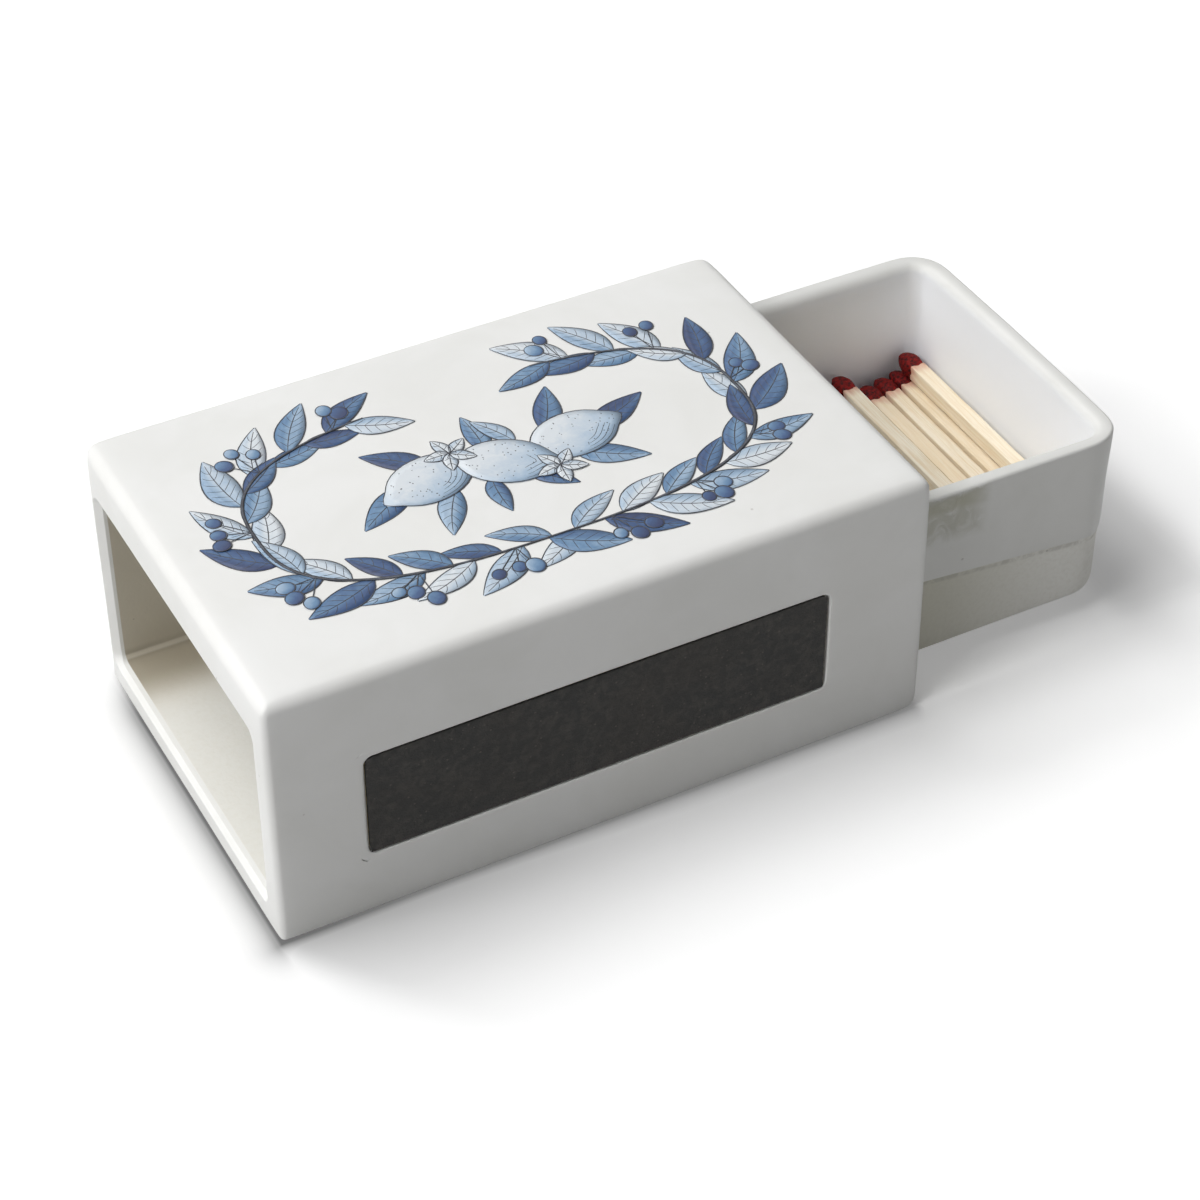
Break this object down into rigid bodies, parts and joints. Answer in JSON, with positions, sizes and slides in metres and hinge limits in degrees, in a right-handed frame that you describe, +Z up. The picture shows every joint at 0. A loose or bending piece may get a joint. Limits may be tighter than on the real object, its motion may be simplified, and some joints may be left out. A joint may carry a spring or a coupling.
{
  "type": "matchbox holder",
  "caption": "White glazed ceramic matchbox holder: open-ended sleeve with a recessed striking strip and a sliding drawer of wooden matches.",
  "frame": {"origin": "middle of the sleeve's base, on the surface that it stands on", "axes": "+X along the sleeve, towards the end that the drawer stands out of; +Y from the striking strip to the back wall; +Z up"},
  "size_m": [0.1503, 0.0696, 0.0462],
  "materials": {
    "glaze": "satin white glaze",
    "striker": "coarse matt abrasive",
    "adhesive": "dull film",
    "match_wood": "bare sawn aspen",
    "match_head": "matt dipped composition"
  },
  "bodies": {
    "sleeve": {"sleeve": "glaze", "striker_strip": "striker", "striker_adhesive": "adhesive"},
    "drawer": {"drawer": "glaze", "match_01_splint": "match_wood", "match_01_head": "match_head", "match_02_splint": "match_wood", "match_02_head": "match_head", "match_03_splint": "match_wood", "match_03_head": "match_head", "match_04_splint": "match_wood", "match_04_head": "match_head", "match_05_splint": "match_wood", "match_05_head": "match_head", "match_06_splint": "match_wood", "match_06_head": "match_head", "match_07_splint": "match_wood", "match_07_head": "match_head", "match_08_splint": "match_wood", "match_08_head": "match_head", "match_09_splint": "match_wood", "match_09_head": "match_head", "match_10_splint": "match_wood", "match_10_head": "match_head", "match_11_splint": "match_wood", "match_11_head": "match_head", "match_12_splint": "match_wood", "match_12_head": "match_head", "match_13_splint": "match_wood", "match_13_head": "match_head", "match_14_splint": "match_wood", "match_14_head": "match_head", "match_15_splint": "match_wood", "match_15_head": "match_head", "match_16_splint": "match_wood", "match_16_head": "match_head", "match_17_splint": "match_wood", "match_17_head": "match_head", "match_18_splint": "match_wood", "match_18_head": "match_head", "match_19_splint": "match_wood", "match_19_head": "match_head", "match_20_splint": "match_wood", "match_20_head": "match_head", "match_21_splint": "match_wood", "match_21_head": "match_head", "match_22_splint": "match_wood", "match_22_head": "match_head", "match_23_splint": "match_wood", "match_23_head": "match_head", "match_24_splint": "match_wood", "match_24_head": "match_head", "match_25_splint": "match_wood", "match_25_head": "match_head", "match_26_splint": "match_wood", "match_26_head": "match_head", "match_27_splint": "match_wood", "match_27_head": "match_head"}
  },
  "joints": [
    {"name": "drawer_slide", "type": "slide", "parent": "sleeve", "child": "drawer", "axis": [1, 0, 0], "range_m": [-0.1303, 0.0487]}
  ]
}
